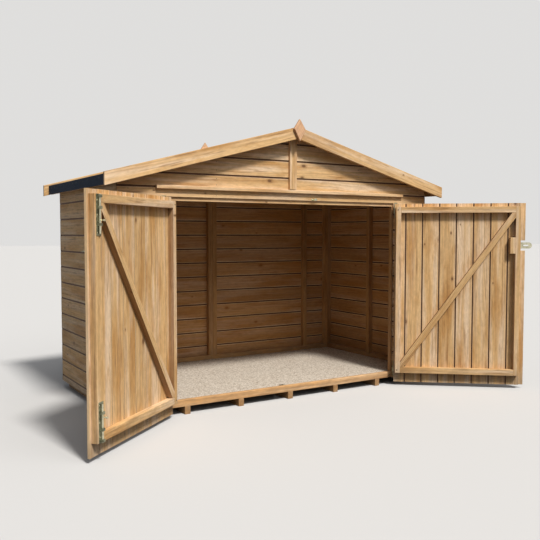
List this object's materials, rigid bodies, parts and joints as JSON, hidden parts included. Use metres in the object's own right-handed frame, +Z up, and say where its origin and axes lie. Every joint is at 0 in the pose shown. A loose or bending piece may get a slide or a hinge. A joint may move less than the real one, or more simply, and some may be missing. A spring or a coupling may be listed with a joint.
{
  "type": "bike shelter",
  "caption": "Timber bike shelter with an apex felt roof, horizontal V-jointed boards and braced double doors that stand open, on a bearer floor.",
  "frame": {"origin": "on the ground at the centre of the clad walls, on the underside of the middle bearer", "axes": "+Z up, the doorway faces -Y, +X to the right of someone who looks in through it"},
  "size_m": [3.2094, 1.9111, 1.849],
  "materials": {
    "boarding": "dip-treated softwood boards, satin",
    "framing": "dip-treated sawn softwood",
    "sheet_board": "raw pressed wood-strand board",
    "roof_felt": "mineral-faced bitumen felt, matt",
    "hardware": "pale gold zinc plating"
  },
  "bodies": {
    "shelter": {"floor_bearers": "framing", "floor_joists": "framing", "floor_sill": "framing", "floor_deck": "sheet_board", "front_left_cladding": "boarding", "front_right_cladding": "boarding", "front_gable_cladding": "boarding", "rear_cladding": "boarding", "left_cladding": "boarding", "right_cladding": "boarding", "front_studs": "framing", "head_rail": "framing", "side_studs": "framing", "side_rails": "framing", "bottom_rails": "framing", "rear_studs": "framing", "gable_rafters": "framing", "roof_purlins": "framing", "roof_deck_left": "sheet_board", "roof_deck_right": "sheet_board", "roof_felt_left": "roof_felt", "roof_felt_right": "roof_felt", "felt_ridge_strip": "roof_felt", "eaves_fascias": "framing", "bargeboards": "framing", "finials": "framing", "cover_strips": "framing", "drip_strip": "framing", "hinge_plates": "hardware", "bolt_keeps": "hardware"},
    "left_leaf": {"left_leaf_boards": "boarding", "left_leaf_stiles": "framing", "left_leaf_ledges": "framing", "left_leaf_brace": "framing", "left_leaf_hinges": "hardware", "left_leaf_fittings": "hardware"},
    "right_leaf": {"right_leaf_boards": "boarding", "right_leaf_stiles": "framing", "right_leaf_ledges": "framing", "right_leaf_brace": "framing", "right_leaf_hinges": "hardware", "closing_strip": "framing", "hasp_plate": "hardware", "lock_block": "framing"},
    "top_bolt": {"top_bolt": "hardware"},
    "bottom_bolt": {"bottom_bolt": "hardware"},
    "hasp": {"hasp_flap": "hardware"}
  },
  "joints": [
    {"name": "left_leaf_hinge", "type": "hinge", "parent": "shelter", "child": "left_leaf", "pos_m": [-0.8875, -0.613, 0.7], "axis": [0, 0, 1], "range_deg": [-34.5, 140.5]},
    {"name": "right_leaf_hinge", "type": "hinge", "parent": "shelter", "child": "right_leaf", "pos_m": [0.8875, -0.613, 0.7], "axis": [0, 0, -1], "range_deg": [-34.5, 140.5]},
    {"name": "top_bolt_slide", "type": "slide", "parent": "left_leaf", "child": "top_bolt", "axis": [0, 0, 1], "range_m": [0, 0.045]},
    {"name": "bottom_bolt_slide", "type": "slide", "parent": "left_leaf", "child": "bottom_bolt", "axis": [0, 0, -1], "range_m": [0, 0.045]},
    {"name": "hasp_hinge", "type": "hinge", "parent": "right_leaf", "child": "hasp", "pos_m": [1.57261, -1.16066, 1.025], "axis": [0, 0, -1], "range_deg": [-165, 0]}
  ]
}
